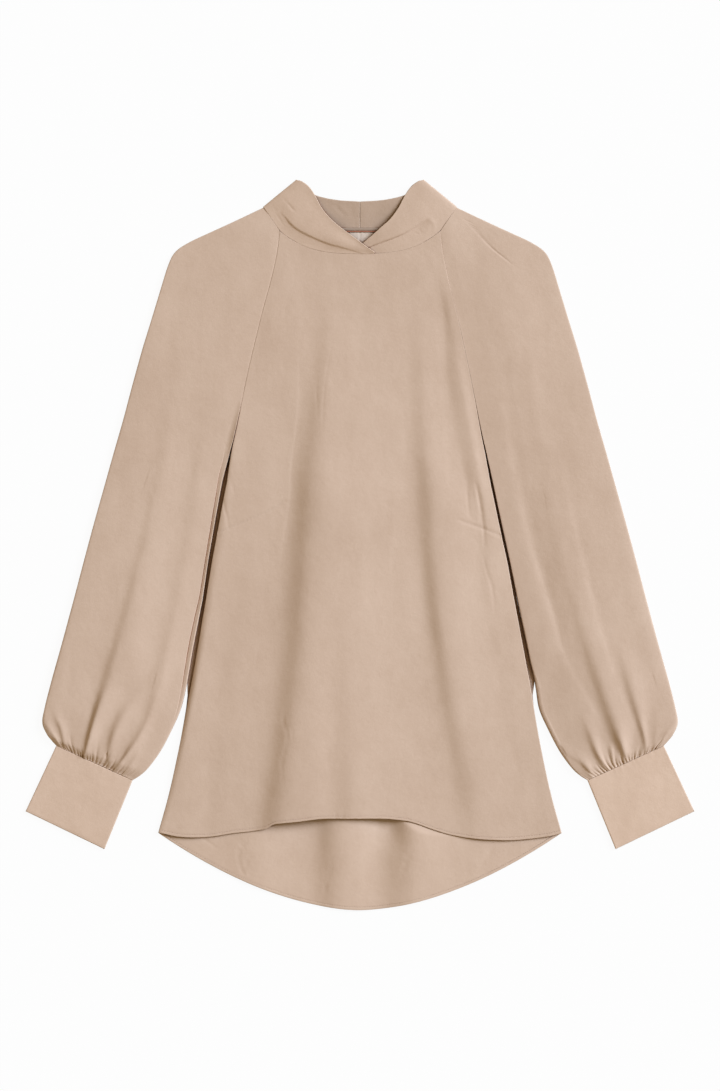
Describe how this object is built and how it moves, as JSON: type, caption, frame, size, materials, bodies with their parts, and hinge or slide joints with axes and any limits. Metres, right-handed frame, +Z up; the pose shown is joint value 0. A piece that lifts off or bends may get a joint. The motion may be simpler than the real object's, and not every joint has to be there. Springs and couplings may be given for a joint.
{
  "type": "high-neck blouse",
  "caption": "Long-sleeved raglan blouse laid flat, with a wrapped high collar, gathered balloon sleeves on deep cuffs and a curved back tail.",
  "frame": {"origin": "middle of the outline, on the surface that the blouse lies on", "axes": "+X across the chest to the right of the picture, +Y from the hem to the collar, +Z up out of the front"},
  "size_m": [0.716, 0.7818, 0.0176],
  "materials": {
    "crepe": "matte sand-coloured brushed crepe with a soft nap",
    "facing": "pale off-white woven facing"
  },
  "bodies": {
    "root": {"front_panel": "crepe", "back_panel": "crepe", "sleeve_left": "crepe", "sleeve_right": "crepe", "cuff_left": "crepe", "cuff_right": "crepe", "collar_left": "crepe", "collar_right": "crepe", "neck_facing": "facing"}
  },
  "joints": []
}
